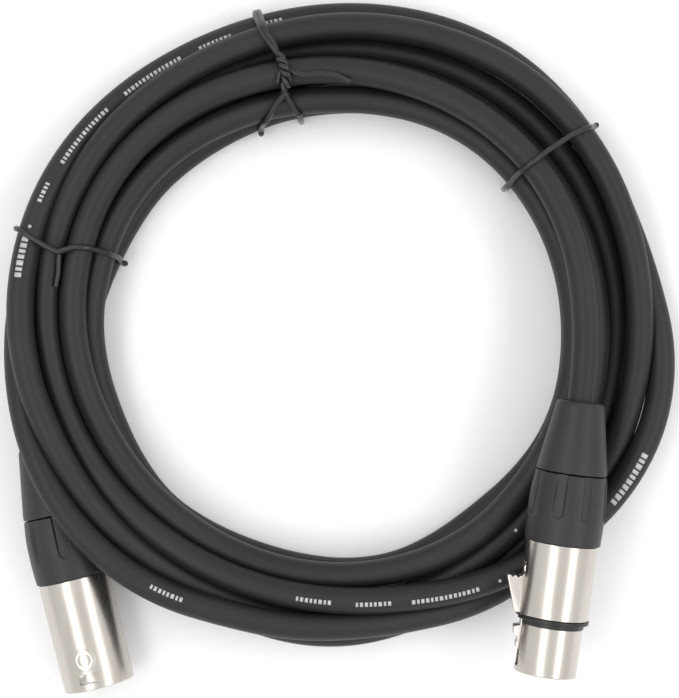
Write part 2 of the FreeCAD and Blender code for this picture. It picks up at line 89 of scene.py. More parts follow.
def ramp_between(tree, texture, low, high):
    ramp = tree.nodes.new("ShaderNodeValToRGB")
    ramp.color_ramp.elements[0].position = 0.3
    ramp.color_ramp.elements[1].position = 0.7
    ramp.color_ramp.elements[0].color = (*low, 1)
    ramp.color_ramp.elements[1].color = (*high, 1)
    link(tree, texture, "Fac", ramp, "Fac")
    return ramp


def finish_of(name, low, high, roughness, grain, relief, metallic=0.0, specular=0.5,
              patch=60.0, stretch=(1, 1, 1)):
    """Procedural finish: two close colours in soft patches, fine grain in the relief and the gloss."""
    made = bpy.data.materials.new(name)
    made.use_nodes = True
    tree = made.node_tree
    shader = tree.nodes["Principled BSDF"]
    shader.inputs["Metallic"].default_value = metallic
    shader.inputs["Specular IOR Level"].default_value = specular
    colour = ramp_between(tree, noise(tree, patch, stretch), low, high)
    link(tree, colour, "Color", shader, "Base Color")
    fine = noise(tree, grain, stretch, 3.0)
    spread = tree.nodes.new("ShaderNodeMapRange")
    spread.inputs["To Min"].default_value = roughness - 0.06
    spread.inputs["To Max"].default_value = roughness + 0.06
    link(tree, fine, "Fac", spread, "Value")
    link(tree, spread, "Result", shader, "Roughness")
    bump = tree.nodes.new("ShaderNodeBump")
    bump.inputs["Strength"].default_value = relief
    bump.inputs["Distance"].default_value = 0.0001
    link(tree, fine, "Fac", bump, "Height")
    link(tree, bump, "Normal", shader, "Normal")
    return made


JACKET = finish_of("cable_jacket", (0.012, 0.0121, 0.0130), (0.0165, 0.0166, 0.0176), 0.5, 2600, 0.25,
                   specular=0.35, patch=35)
TIE_PLASTIC = finish_of("tie_plastic", (0.010, 0.010, 0.011), (0.015, 0.015, 0.016), 0.3, 900, 0.15,
                        patch=200)
BOOT = finish_of("boot_plastic", (0.0155, 0.0158, 0.0172), (0.0205, 0.0208, 0.0225), 0.46, 3500, 0.35,
                 specular=0.4, patch=90)
SHELL = finish_of("shell_metal", (0.52, 0.485, 0.44), (0.60, 0.565, 0.515), 0.27, 500, 0.05,
                  metallic=1.0, patch=220, stretch=(1, 0.06, 1))
LATCH = finish_of("latch_metal", (0.60, 0.555, 0.51), (0.69, 0.65, 0.60), 0.34, 700, 0.12,
                  metallic=1.0, patch=260)
SPRING = finish_of("spring_steel", (0.45, 0.45, 0.46), (0.55, 0.55, 0.56), 0.25, 900, 0.05, metallic=1.0)
RUBBER = finish_of("ring_rubber", (0.006, 0.006, 0.0065), (0.010, 0.010, 0.011), 0.38, 1800, 0.2,
                   patch=200)
CARRIER = finish_of("carrier_plastic", (0.012, 0.012, 0.013), (0.02, 0.02, 0.021), 0.45, 2200, 0.25,
                    patch=150)
COLLET = finish_of("collet_plastic", (0.60, 0.60, 0.56), (0.70, 0.70, 0.66), 0.5, 1500, 0.2, patch=120)
CONTACT = finish_of("contact_plating", (0.72, 0.68, 0.60), (0.82, 0.78, 0.70), 0.22, 800, 0.06,
                    metallic=1.0, patch=180)
BRAID = finish_of("braid_copper", (0.55, 0.28, 0.16), (0.72, 0.40, 0.25), 0.4, 2500, 0.8,
                  metallic=1.0, patch=900)
CORE = finish_of("core_insulation", (0.45, 0.03, 0.03), (0.62, 0.05, 0.04), 0.4, 1200, 0.15, patch=100)
# Light grey of the printing on the jacket; the same colour also paints one small highlight as a dot.
INK_AND_GLINT = finish_of("print_ink_and_glint", (0.36, 0.36, 0.35), (0.50, 0.50, 0.49), 0.55, 2600, 0.2, patch=900)


# ---------------------------------------------------------------- pieces

def keep(piece, body="root", nodes=()):
    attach(piece, body)
    if nodes:
        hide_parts(*nodes)
    return piece


def mesh_piece(name, points, faces, material, place=None, smooth_angle=40):
    """Mesh from points in millimetres in a connector's frame, or in the row frame."""
    mesh = bpy.data.meshes.new(name)
    corners = [tuple(float(value) for value in point) for point in points]
    mesh.from_pydata(corners, [], [tuple(int(corner) for corner in face) for face in faces])
    builder = bmesh.new()
    builder.from_mesh(mesh)
    bmesh.ops.recalc_face_normals(builder, faces=builder.faces)
    builder.to_mesh(mesh)
    builder.free()
    mesh.transform((place or Matrix.Identity(4)) @ Matrix.Scale(MM, 4))
    mesh.materials.append(material)
    piece = bpy.data.objects.new(name, mesh)
    bpy.context.scene.collection.objects.link(piece)
    mesh.shade_smooth()
    mesh.set_sharp_from_angle(angle=math.radians(smooth_angle))
    return piece


def apply_modifiers(piece):
    """Leave the piece as the mesh its modifiers make."""
    bpy.context.view_layer.update()
    graph = bpy.context.evaluated_depsgraph_get()
    result = bpy.data.meshes.new_from_object(piece.evaluated_get(graph))
    piece.modifiers.clear()
    piece.data = result
    return piece


def rounded(corners, steps=5):
    """Closed outline with its corners rounded. Each corner is (along, out, size of rounding)."""
    outline = []
    count = len(corners)
    for index, (along, out, size) in enumerate(corners):
        here = np.array((along, out))
        before, after = (np.array(corners[i % count][:2]) for i in (index - 1, index + 1))
        back, ahead = before - here, after - here
        reach = min(size, 0.45 * np.linalg.norm(back), 0.45 * np.linalg.norm(ahead))
        if reach < 0.01:
            outline.append(here)
            continue
        start, end = here + back / np.linalg.norm(back) * reach, here + ahead / np.linalg.norm(ahead) * reach
        for t in np.linspace(0, 1, steps):
            outline.append((1 - t) ** 2 * start + 2 * t * (1 - t) * here + t * t * end)
    return np.array(outline)


def divided(outline, longest):
    """The same closed outline with no edge longer than stated."""
    points = []
    for here, after in zip(outline, np.roll(outline, -1, axis=0)):
        cuts = max(1, math.ceil(np.linalg.norm(after - here) / longest))
        points += [here + (after - here) * i / cuts for i in range(cuts)]
    return np.array(points)


def lathe(name, outline, material, place, segments=128, relief=None):
    """Closed outline turned about the connector's axis. relief(along, turn, out) may lower the surface."""
    turns = np.linspace(0, 2 * math.pi, segments, endpoint=False)
    along, out = outline[:, 0][:, None], np.repeat(outline[:, 1][:, None], segments, axis=1)
    if relief is not None:
        out = out - relief(along, turns[None, :], out)
    points = np.stack([out * np.cos(turns), out * np.sin(turns), np.repeat(along, segments, axis=1)], axis=-1)
    rows = len(outline)
    faces = []
    for row in range(rows):
        upper, lower = row * segments, ((row + 1) % rows) * segments
        for column in range(segments):
            following = (column + 1) % segments
            faces.append((upper + column, upper + following, lower + following, lower + column))
    return mesh_piece(name, points.reshape(-1, 3), faces, material, place)


def box_points(low, high):
    corners = [(x, y, z) for x in (low[0], high[0]) for y in (low[1], high[1]) for z in (low[2], high[2])]
    return corners, [(0, 1, 3, 2), (4, 6, 7, 5), (0, 4, 5, 1), (2, 3, 7, 6), (0, 2, 6, 4), (1, 5, 7, 3)]


def cut_box(piece, place, low, high, rounding=0.3):
    """Cut a soft-cornered box out of a piece; its corners are in the connector's frame."""
    points, faces = box_points(low, high)
    tool = mesh_piece("tool", points, faces, piece.data.materials[0], place)
    soften = tool.modifiers.new("soft", "BEVEL")
    soften.width = rounding * MM
    soften.segments = 3
    apply_modifiers(tool)
    cut = piece.modifiers.new("cut", "BOOLEAN")
    cut.operation = "DIFFERENCE"
    cut.solver = "EXACT"
    cut.object = tool
    apply_modifiers(piece)
    bpy.data.objects.remove(tool)
    piece.data.set_sharp_from_angle(angle=math.radians(40))
    return piece


def connector_frame(mouth, length, lift):
    """Frame of a connector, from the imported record's point and axis at its mating end.

    Its latch side points level, to the connector's right, and is raised by the lift angle.
    """
    axis = Vector(MOUNTS[mouth]["axis"]).normalized()
    level = Vector((axis.y, -axis.x, 0)).normalized()
    raised = math.radians(lift)
    out = level * math.cos(raised) + Vector((0, 0, 1)) * math.sin(raised)
    side = axis.cross(out)
    place = Matrix((out, side, axis)).transposed().to_4x4()
    place.translation = Vector(MOUNTS[mouth]["pos_m"]) - axis * length * MM
    return place


MALE = connector_frame("male_shell_mouth", MALE_LENGTH, 90 - MALE_ROLL)
FEMALE = connector_frame("female_nose", FEMALE_LENGTH, 0)


# ---------------------------------------------------------------- cord

LOW, HIGH = 3.5, 10.4
TIE_BEARINGS = (345.0, 51.7, 288.4)
TIE_LIFT = 1.5
# How the turns settle: share of a sideways push that counts, pull back to the drawn place, weight,
# stiffness upwards and sideways, gain of a push, and how often the pairs that may touch are listed.
SIDEWAYS, HOLD, WEIGHT = 0.35, 0.2, 0.06
STIFF_UPWARD, STIFF_SIDEWAYS = 0.35, 0.3
PUSH_GAIN, CONNECTOR_GAIN = 1.2, 0.8
SETTLE_ROUNDS, LIST_EVERY, NEAR_MARGIN = 360, 15, 5
# What the strands lie on where they cross a connector: its gland's cone, then its collar.
GLAND_MOUTH, GLAND_FLARE, COLLAR_REACH = 6, 3.1, 9.9
FIRST_BEARING, LAST_BEARING, STEP_BEARING = 297, 2565, 12

# Where the strand runs, one list for each turn: bearing, distance from the coil's centre, and height
# of the strand's middle, which is on the table, on another strand, or between. The cord leaves the
# male connector in the first turn and reaches the female one in the last.
TURNS = [
    [(270, 77.3, 6.5), (285, 73.8, 4.0), (300, 69.7, LOW), (315, 67.5, LOW), (330, 66.8, LOW),
     (345, 67.4, LOW)],
    [(0, 68.3, LOW), (30, 69.0, LOW), (60, 69.0, LOW), (90, 68.5, LOW), (120, 69.0, LOW), (150, 70.2, 5.0),
     (165, 71.9, 9.0), (180, 74.6, 9.8), (200, 73.7, HIGH), (215, 74.4, 10.8), (230, 75.8, 14.0),
     (240, 76.4, 17.0), (250, 77.3, 16.0), (262, 79.0, 12.5), (275, 80.4, 10.6), (290, 81.2, 9.0),
     (303, 81.7, 7.0), (318, 81.3, 4.2), (335, 80.8, LOW)],
    [(0, 82.3, LOW), (15, 83.6, LOW), (28, 84.6, LOW), (42, 83.9, LOW), (56, 82.3, LOW), (70, 81.5, LOW),
     (80, 82.5, LOW), (90, 85.2, LOW), (103, 86.6, 3.6), (115, 85.1, 5.5), (128, 81.9, 11.0),
     (140, 78.3, 14.5), (152, 74.7, 15.0), (163, 71.4, 12.8), (177, 69.3, HIGH), (195, 68.2, 10.0),
     (215, 68.7, 9.0), (235, 70.3, 9.2), (255, 72.1, 10.2), (272, 74.0, 11.2), (290, 75.7, 12.8),
     (305, 76.7, 12.0), (320, 76.8, HIGH), (340, 77.1, HIGH)],
    [(0, 78.9, HIGH), (20, 80.7, HIGH), (35, 82.0, HIGH), (50, 82.1, HIGH), (65, 81.0, HIGH),
     (80, 79.9, 10.2), (95, 79.5, 9.0), (110, 79.3, 5.0), (130, 80.0, 3.6), (148, 79.8, 5.5),
     (158, 77.7, 7.5), (170, 75.6, 10.0), (185, 76.1, HIGH), (200, 76.6, 10.6), (213, 79.5, 12.0),
     (226, 81.4, 16.0), (240, 81.9, 20.0), (252, 81.6, 18.0), (265, 81.3, 12.0), (280, 80.7, 7.0),
     (292, 79.4, 4.2), (305, 76.8, LOW), (320, 74.5, LOW), (340, 74.0, LOW)],
    [(0, 74.1, LOW), (20, 75.3, LOW), (45, 76.2, LOW), (70, 75.2, LOW), (90, 74.2, LOW), (115, 74.0, LOW),
     (140, 74.5, LOW), (155, 75.8, LOW), (168, 78.2, LOW), (183, 79.4, LOW), (198, 77.9, LOW),
     (212, 75.5, LOW), (240, 71.0, LOW), (270, 65.5, LOW), (290, 61.6, LOW), (310, 60.7, LOW),
     (330, 59.5, LOW), (345, 60.0, LOW)],
    [(0, 60.6, LOW), (15, 62.0, LOW), (30, 63.2, LOW), (60, 63.4, LOW), (90, 63.2, LOW), (115, 63.6, LOW),
     (128, 62.4, LOW), (140, 61.3, LOW), (150, 61.8, LOW), (162, 63.1, LOW), (172, 63.1, LOW),
     (183, 62.3, LOW), (196, 61.5, LOW), (210, 62.0, LOW), (225, 63.2, LOW), (240, 62.3, 6.5),
     (252, 61.9, 8.5), (270, 63.2, 9.5), (285, 63.0, HIGH), (300, 63.4, HIGH), (315, 62.9, HIGH),
     (330, 61.5, HIGH), (345, 60.7, HIGH)],
    [(0, 60.0, HIGH), (15, 61.1, HIGH), (30, 62.3, HIGH), (55, 62.8, HIGH), (85, 62.6, HIGH),
     (115, 63.1, HIGH), (130, 63.3, 10.0), (145, 64.1, 9.5), (160, 63.7, 9.8), (180, 63.1, HIGH),
     (205, 62.6, HIGH), (225, 63.0, HIGH), (240, 63.8, HIGH), (252, 64.7, HIGH), (265, 66.3, HIGH),
     (280, 67.7, HIGH), (300, 69.5, HIGH), (312, 69.8, HIGH), (330, 68.8, HIGH), (345, 67.6, HIGH)],
    [(0, 67.1, HIGH), (20, 66.7, HIGH), (40, 66.7, 10.5), (60, 66.5, 12.5)],
]


def ring_point(bearing, radius, height=0.0):
    turn = math.radians(bearing)
    x, y = COIL_CENTRE[0] + radius * math.sin(turn), COIL_CENTRE[1] + radius * math.cos(turn)
    return np.array((x, y, height))


def on_axis(place, along):
    """Point on a connector's axis, in millimetres."""
    return np.array(place @ Vector((0, 0, along * MM))) / MM


def smooth_values(stations, values, where):
    """Values between unevenly spaced stations, on smooth curves through them."""
    slopes = np.gradient(values, stations)
    index = np.clip(np.searchsorted(stations, where, side="right") - 1, 0, len(stations) - 2)
    step = stations[index + 1] - stations[index]
    t = (where - stations[index]) / step
    return ((1 + 2 * t) * (1 - t) ** 2 * values[index] + t * (1 - t) ** 2 * step * slopes[index]
            + t * t * (3 - 2 * t) * values[index + 1] - t * t * (1 - t) * step * slopes[index + 1])


def cord_points():
    """Control points: out of the male gland, round the coil, and into the female gland."""
    rows = [(360 * turn + bearing, radius, height)
            for turn, stations in enumerate(TURNS) for bearing, radius, height in stations]
    stations, radii, heights = np.array(rows, float).T
    male_end = [on_axis(MALE, 0), on_axis(MALE, -12), ring_point(270, 77.5, 7.0), ring_point(284, 74.2, 4.1)]
    female_end = [ring_point(56, 66.6, 10.6), ring_point(67, 65.8, 15.9), ring_point(79, 64.9, 21.6),
                  on_axis(FEMALE, -12), on_axis(FEMALE, 0)]
    inside_corner = math.cos(math.radians(STEP_BEARING / 2))
    bearings = np.arange(FIRST_BEARING, LAST_BEARING + 1, STEP_BEARING)
    reach = smooth_values(stations, radii, bearings) / inside_corner
    level = np.maximum(smooth_values(stations, heights, bearings), LOW)
    coil = [ring_point(*place) for place in zip(bearings, reach, level)]
    # the first two points of the female end rest on the coil, so they settle with it
    return np.array(male_end + coil + female_end), len(male_end), len(female_end) - 2


def spline_weights(count, per_span=4):
    """How much each control point counts at samples along a quadratic spline held at its ends."""
    spans = count - 2
    knots = np.concatenate([[0, 0], np.arange(spans + 1), [spans, spans]]).astype(float)
    where = np.linspace(0, spans, spans * per_span + 1)
    weights = np.zeros((len(where), count))
    for row, t in enumerate(where):
        knot = min(int(t), spans - 1) + 2
        shares = [1.0]
        for degree in (1, 2):
            raised = [0.0] * (degree + 1)
            for i in range(degree):
                left = knot - degree + 1 + i
                width = knots[left + degree] - knots[left]
                part = (t - knots[left]) / width if width else 0.0
                raised[i] += (1 - part) * shares[i]
                raised[i + 1] += part * shares[i]
            shares = raised
        for i, share in enumerate(shares):
            weights[row, knot - 2 + i] += share
    return weights


def table_height(line):
    """Lowest height of the cord's middle: on the table, or on a tie's wire that runs under it."""
    bearing = np.degrees(np.arctan2(line[:, 0] - COIL_CENTRE[0], line[:, 1] - COIL_CENTRE[1]))
    reach = np.hypot(line[:, 0] - COIL_CENTRE[0], line[:, 1] - COIL_CENTRE[1])
    height = np.full(len(line), CABLE_RADIUS)
    for tie in TIE_BEARINGS:
        apart = np.radians((bearing - tie + 180) % 360 - 180) * reach
        height += TIE_LIFT * np.exp(-(apart / 12) ** 2)
    return height


def push_off_connector(line, place, length, own_end):
    """How far each sample has to move to clear a connector that lies across the coil."""
    start = on_axis(place, 0)
    axis = np.array(place.col[2][:3])
    along = (line - start) @ axis
    away = line - start - along[:, None] * axis
    gap = np.linalg.norm(away, axis=1)
    cone = GLAND_MOUTH + GLAND_FLARE * np.clip(along, 0, COLLAR_START) / COLLAR_START
    surface = np.where(along < COLLAR_START, cone, COLLAR_REACH)
    need = np.where((along > -1.5) & (along < length), surface + CABLE_RADIUS, 0)
    need[own_end] = 0
    return np.clip(need - gap, 0, None)[:, None] * away / np.maximum(gap, 1e-6)[:, None] * CONNECTOR_GAIN


def settle(points, held_start, held_end, per_span=4):
    """Let the drawn turns find their places: strands rest on each other, on the table and on the gland."""
    count = len(points)
    weights = spline_weights(count, per_span)
    shares = np.maximum(weights.sum(0), 1e-6)[:, None]
    free = np.ones((count, 1))
    free[:held_start] = 0
    free[count - held_end:] = 0
    drawn = points.copy()
    samples = len(weights)
    diameter = 2 * CABLE_RADIUS
    for step in range(SETTLE_ROUNDS):
        line = weights @ points
        tangent = np.gradient(line, axis=0)
        spacing = np.linalg.norm(tangent, axis=1)
        tangent /= spacing[:, None]
        if step % LIST_EVERY == 0:
            near = np.linalg.norm(line[:, None] - line[None], axis=2) < diameter + NEAR_MARGIN
            elsewhere = np.abs(np.subtract.outer(range(samples), range(samples))) > 3 * per_span
            first, second = np.nonzero(near & elsewhere)
        apart = line[first] - line[second]
        slide = (apart * tangent[first]).sum(1)
        across = apart - slide[:, None] * tangent[first]
        gap = np.linalg.norm(across, axis=1)
        hit = (np.abs(slide) < 0.75 * spacing[first]) & (gap < diameter)
        i, j = first[hit], second[hit]
        sunk = diameter - gap[hit]
        shove = across[hit] / np.maximum(gap[hit], 1e-6)[:, None] * sunk[:, None] * 0.5
        push = np.zeros_like(line)
        np.add.at(push, i, shove / np.maximum(np.bincount(i, minlength=samples), 1)[i][:, None])
        np.add.at(push, j, -shove / np.maximum(np.bincount(j, minlength=samples), 1)[j][:, None])
        push += push_off_connector(line, MALE, MALE_LENGTH, slice(0, 6 * per_span))
        push += push_off_connector(line, FEMALE, FEMALE_LENGTH, slice(samples - 7 * per_span, samples))
        push[:, 2] += np.clip(table_height(line) - line[:, 2], 0, None)
        push[:, :2] *= SIDEWAYS
        points = points + free * (weights.T @ push) / shares * PUSH_GAIN
        bend = np.zeros(count)
        bend[1:-1] = 0.5 * (points[:-2, 2] + points[2:, 2]) - points[1:-1, 2]
        weight = WEIGHT * (1 - step / SETTLE_ROUNDS)
        points[:, 2] += free[:, 0] * (STIFF_UPWARD * bend - weight)
        shift = points[:, :2] - drawn[:, :2]
        level = np.zeros((count, 2))
        level[1:-1] = 0.5 * (shift[:-2] + shift[2:]) - shift[1:-1]
        points[:, :2] += free * (STIFF_SIDEWAYS * level - HOLD * shift)
    print(f"cord settled: deepest overlap {sunk.max():.2f} mm, mean {sunk.mean():.3f} mm")
    return points


def spline_piece(name, points, radius, material, cyclic=False, bevel=5, smoothness=8):
    """Smooth round bar on one NURBS spline with these control points, in millimetres."""
    curve = bpy.data.curves.new(name, "CURVE")
    curve.dimensions = "3D"
    curve.resolution_u = smoothness
    spline = curve.splines.new("NURBS")
    spline.points.add(len(points) - 1)
    for point, at in zip(spline.points, points):
        point.co = (at[0] * MM, at[1] * MM, at[2] * MM, 1)
    spline.order_u = 3
    if cyclic:
        spline.use_cyclic_u = True
    else:
        spline.use_endpoint_u = True
    curve.bevel_depth = radius * MM
    curve.bevel_resolution = bevel
    curve.use_fill_caps = True
    curve.materials.append(material)
    piece = bpy.data.objects.new(name, curve)
    bpy.context.scene.collection.objects.link(piece)
    return piece


def centreline(piece):
    """Points along a curve piece's own line, in millimetres."""
    bare = bpy.data.objects.new("bare", piece.data.copy())
    bare.data.bevel_depth = 0
    bare.data.use_fill_caps = False
    bpy.context.scene.collection.objects.link(bare)
    bpy.context.view_layer.update()
    mesh = bpy.data.meshes.new_from_object(bare.evaluated_get(bpy.context.evaluated_depsgraph_get()))
    line = np.array([vertex.co for vertex in mesh.vertices]) / MM
    bpy.data.objects.remove(bare)
    return line


drawn, male_held, female_held = cord_points()
cord_route = settle(drawn, male_held, female_held)
cable = spline_piece("cable", cord_route, CABLE_RADIUS, JACKET, bevel=7, smoothness=8)
keep(cable, nodes=("cable_coil", "cable_tail_male", "cable_tail_female"))
strand = centreline(cable)


# ---------------------------------------------------------------- ties

TIE_RADIUS = 0.75
TIE_CORNER = 1.2


def rest_height(x, y, radius):
    """Height at which a thin wire's middle lies on the strands under a point."""
    away = np.hypot(strand[:, 0] - x, strand[:, 1] - y)
    under = away < CABLE_RADIUS + radius
    if not under.any():
        return radius
    return (strand[under, 2] + np.sqrt((CABLE_RADIUS + radius) ** 2 - away[under] ** 2)).max()


def taut(heights, along):
    """The heights of a wire pulled tight over bumps: the upper hull."""
    kept = []
    for point in zip(along, heights):
        while len(kept) > 1:
            (x0, z0), (x1, z1) = kept[-2:]
            if (x1 - x0) * (point[1] - z0) - (z1 - z0) * (point[0] - x0) >= 0:
                kept.pop()
            else:
                break
        kept.append(point)
    return np.interp(along, [k[0] for k in kept], [k[1] for k in kept])


def over_strands(waypoints, radius, spacing=1.6):
    """Path of a wire over the top of the strands, through level waypoints."""
    waypoints = np.array(waypoints, float)
    path = [waypoints[0]]
    for here, after in zip(waypoints, waypoints[1:]):
        cuts = max(1, round(np.linalg.norm(after - here) / spacing))
        path += [here + (after - here) * i / cuts for i in range(1, cuts + 1)]
    path = np.array(path)
    along = np.concatenate([[0], np.cumsum(np.linalg.norm(np.diff(path, axis=0), axis=1))])
    heights = taut([rest_height(x, y, radius) for x, y in path], along)
    return np.column_stack([path, heights])


def rim_point(x, y, outer):
    """Move a waypoint in or out to where the wire bends round the ring's edge."""
    offset = np.array((x, y)) - COIL_CENTRE
    direction = offset / np.linalg.norm(offset)
    beside = np.abs((strand[:, :2] - COIL_CENTRE) @ np.array((direction[1], -direction[0]))) < 3
    beside &= (strand[:, :2] - COIL_CENTRE) @ direction > 0
    reach = np.linalg.norm(strand[beside, :2] - COIL_CENTRE, axis=1)
    margin = CABLE_RADIUS + TIE_RADIUS + 0.1
    radius = reach.max() + margin if outer else reach.min() - margin
    return np.array(COIL_CENTRE) + direction * radius


def tie_loop_points(top):
    """Closed loop: over the strands along waypoints from the outer rim to the inner, and back under."""
    outer, inner = rim_point(*top[0], True), rim_point(*top[-1], False)
    inward = (inner - outer) / np.linalg.norm(inner - outer)
    over = over_strands([outer + inward * TIE_CORNER, *top[1:-1], inner - inward * TIE_CORNER], TIE_RADIUS)
    under = TIE_RADIUS + 0.05
    inner_side = [(*inner, over[-1][2] - 2.5), (*inner, 7.0), (*inner, 3.0),
                  (*(inner - inward * TIE_CORNER), under)]
    outer_side = [(*(outer + inward * TIE_CORNER), under), (*outer, 3.0), (*outer, 7.0),
                  (*outer, over[0][2] - 2.5)]
    return [*over, *inner_side, *outer_side]


def twisted_pair(name, path, radius, turns):
    """Two wires twisted round each other along a path."""
    path = np.array(path)
    heading = np.gradient(path, axis=0)
    heading /= np.linalg.norm(heading, axis=1)[:, None]
    side = np.cross(heading, (0, 0, 1))
    side /= np.linalg.norm(side, axis=1)[:, None]
    up = np.cross(side, heading)
    phase = np.linspace(0, 2 * math.pi * turns, len(path))[:, None]
    pieces = []
    for number, start in enumerate((0, math.pi), start=1):
        wire = path + radius * (np.cos(phase + start) * side + np.sin(phase + start) * up)
        pieces.append(keep(spline_piece(f"{name}_{number}", wire, radius, TIE_PLASTIC, bevel=4, smoothness=4)))
    return pieces


TOP_KNOT = [(-15.6, 75.1), (-14.1, 72.5), (-13.0, 68.9), (-13.6, 65.0)]

TIE_LOOPS = {
    "tie_top": [[(-21.0, 84.9), (-19.2, 80.0), (-17.4, 77.6), *TOP_KNOT,
                 (-16.1, 62.5), (-18.2, 58.8), (-19.5, 54.2)],
                [(-20.2, 85.1), (-18.3, 80.3), (-16.4, 77.9), *TOP_KNOT,
                 (-12.0, 62.7), (-10.5, 60.1), (-9.4, 57.8)]],
    "tie_left": [[(-81.6, 30.2), (-77.7, 27.7), (-75.1, 26.1), (-71.5, 24.3), (-67.4, 25.6), (-63.8, 25.4),
                  (-60.2, 24.6), (-56.8, 23.3), (-54.3, 21.5)]],
    "tie_right": [[(65.8, 56.8), (59.9, 54.5), (53.4, 50.1), (48.3, 46.2), (45.4, 43.9), (44.1, 42.1)]],
}
TIE_TAILS = {
    "tie_top_tail": [(-13.4, 71.4), (-11.5, 69.9), (-8.2, 69.4), (-4.5, 69.9), (-0.7, 69.4), (2.9, 67.9)],
    "tie_top_stub": [(-13.2, 72.0), (-14.6, 70.4), (-15.4, 67.6)],
    "tie_left_tail": [(-71.3, 25.0), (-71.5, 21.5), (-71.6, 18.9), (-72.3, 15.6)],
}
for tie, loops in TIE_LOOPS.items():
    for number, top in enumerate(loops, start=1):
        loop = spline_piece(f"{tie}_wire_{number}", tie_loop_points(top), TIE_RADIUS, TIE_PLASTIC,
                            cyclic=True, bevel=4, smoothness=6)
        keep(loop, nodes=(tie,))
for tail, waypoints in TIE_TAILS.items():
    wire = over_strands(waypoints, TIE_RADIUS)
    keep(spline_piece(tail, wire, TIE_RADIUS, TIE_PLASTIC, bevel=4))
lift = np.array((0, 0, TIE_RADIUS))
twisted_pair("tie_top_twist", over_strands(TOP_KNOT, 2 * TIE_RADIUS, 0.5) + lift * 0.6, TIE_RADIUS, 3)


# ---------------------------------------------------------------- printed marks, and one painted highlight

FINE, BOLD, DOT_AND_GLINT = 1.15, 1.8, 0.8
# Runs of plain marks along the jacket: turn, first and last bearing, lean outwards in degrees, height. All are
# print except the last dot, which is a painted highlight.
PRINT_AND_GLINT_RUNS = [
    (1, 279.5, 286.5, 12, BOLD), (1, 293.5, 297.5, 8, FINE), (1, 301.5, 314.5, 0, FINE),
    (1, 318.5, 330.5, 0, FINE), (1, 334.5, 340.5, 0, FINE), (1, 347.5, 350.5, 6, FINE),
    (2, 111.5, 121.0, 12, BOLD), (2, 150.5, 163.5, 15, FINE), (2, 168.0, 175.5, 10, FINE),
    (2, 180.5, 188.0, 6, FINE), (3, 209.5, 215.5, -8, FINE), (1, 288.5, 288.6, 8, DOT_AND_GLINT),
    # The dot on turn 1 at bearing 137 is not print: it is a painted highlight, a small glint on a low strand
    # drawn in the ink's light grey.
    (2, 146.0, 146.1, 12, DOT_AND_GLINT), (1, 137.0, 137.1, 6, DOT_AND_GLINT),
]
MARK_LENGTHS = (0.8, 0.6, 0.9, 0.7, 0.6, 0.8)
MARK_GAP = 0.45
BOLD_STRETCH = 1.5
MARK_LIFT, MARK_THICKNESS = 0.035, 0.05


def strand_frames():
    """Running bearing round the coil, directions outward and upward, and the length travelled."""
    bearing = np.unwrap(np.arctan2(strand[:, 0] - COIL_CENTRE[0], strand[:, 1] - COIL_CENTRE[1]))
    bearing = np.degrees(bearing)
    bearing += 360 * round((7 * 360 + 105 - bearing[-1]) / 360)
    heading = np.gradient(strand, axis=0)
    heading /= np.linalg.norm(heading, axis=1)[:, None]
    outward = np.cross(heading, (0, 0, -1))
    outward /= np.linalg.norm(outward, axis=1)[:, None]
    upward = np.cross(heading, outward)
    upward *= np.sign(upward[:, 2])[:, None]
    travelled = np.concatenate([[0], np.cumsum(np.linalg.norm(np.diff(strand, axis=0), axis=1))])
    return bearing, outward, upward, travelled


def print_and_glint_marks():
    """Short plain bars in place of the printing on the jacket, and one light dot that is a painted highlight.
    """
    bearing, outward, upward, travelled = strand_frames()
    outward = outward * np.sign(((strand[:, :2] - COIL_CENTRE) * outward[:, :2]).sum(1))[:, None]
    points, faces = [], []
    rows, columns = 5, 4
    for turn, first, last, lean, height in PRINT_AND_GLINT_RUNS:
        start = np.interp(360 * turn + first, bearing, travelled)
        end = np.interp(360 * turn + last, bearing, travelled)
        number = 0
        while start < end:
            length = MARK_LENGTHS[number % len(MARK_LENGTHS)] * (BOLD_STRETCH if height == BOLD else 1)
            base = len(points)
            for along in np.linspace(start, start + length, columns):
                centre = np.array([np.interp(along, travelled, strand[:, k]) for k in range(3)])
                out = np.array([np.interp(along, travelled, outward[:, k]) for k in range(3)])
                up = np.array([np.interp(along, travelled, upward[:, k]) for k in range(3)])
                half = math.degrees(height / 2 / CABLE_RADIUS)
                for turn_angle in np.radians(np.linspace(lean - half, lean + half, rows)):
                    facing = math.cos(turn_angle) * up + math.sin(turn_angle) * out
                    points.append(centre + (CABLE_RADIUS + MARK_LIFT) * facing)
            for c in range(columns - 1):
                for r in range(rows - 1):
                    corner = base + c * rows + r
                    faces.append((corner, corner + 1, corner + rows + 1, corner + rows))
            start += length + MARK_GAP
            number += 1
    piece = mesh_piece("cable_print_and_glint", points, faces, INK_AND_GLINT)
    thicken = piece.modifiers.new("thickness", "SOLIDIFY")
    thicken.thickness = MARK_THICKNESS * MM
    thicken.offset = 0
    return keep(apply_modifiers(piece))


print_and_glint_marks()


# ---------------------------------------------------------------- glands and collars

MALE_SHELL_START, FEMALE_SHELL_START = 35.3, 36.1
FLUTES = 8
FLUTE_END = 29.7
FLUTE_HALF = 1.6
FLUTE_FLOOR, FLUTE_RISE = 8.7, 0.066


def flute_relief(first):
    """Depth of eight finger flutes, open at the collar's shoulder and round at their other end."""
    def relief(along, turn, out):
        step = 2 * math.pi / FLUTES
        sideways = np.abs((turn - first + step / 2) % step - step / 2) * 9.4
        beyond = np.clip(along - (FLUTE_END - FLUTE_HALF), 0, None)
        inside = FLUTE_HALF - np.hypot(sideways, beyond)
        share = np.clip(inside / 0.45, 0, 1)
        share = share * share * (3 - 2 * share)
        depth = np.clip(out - FLUTE_FLOOR - FLUTE_RISE * (along - COLLAR_START), 0, None)
        return np.where(out > 8.6, depth * share, 0)
    return relief


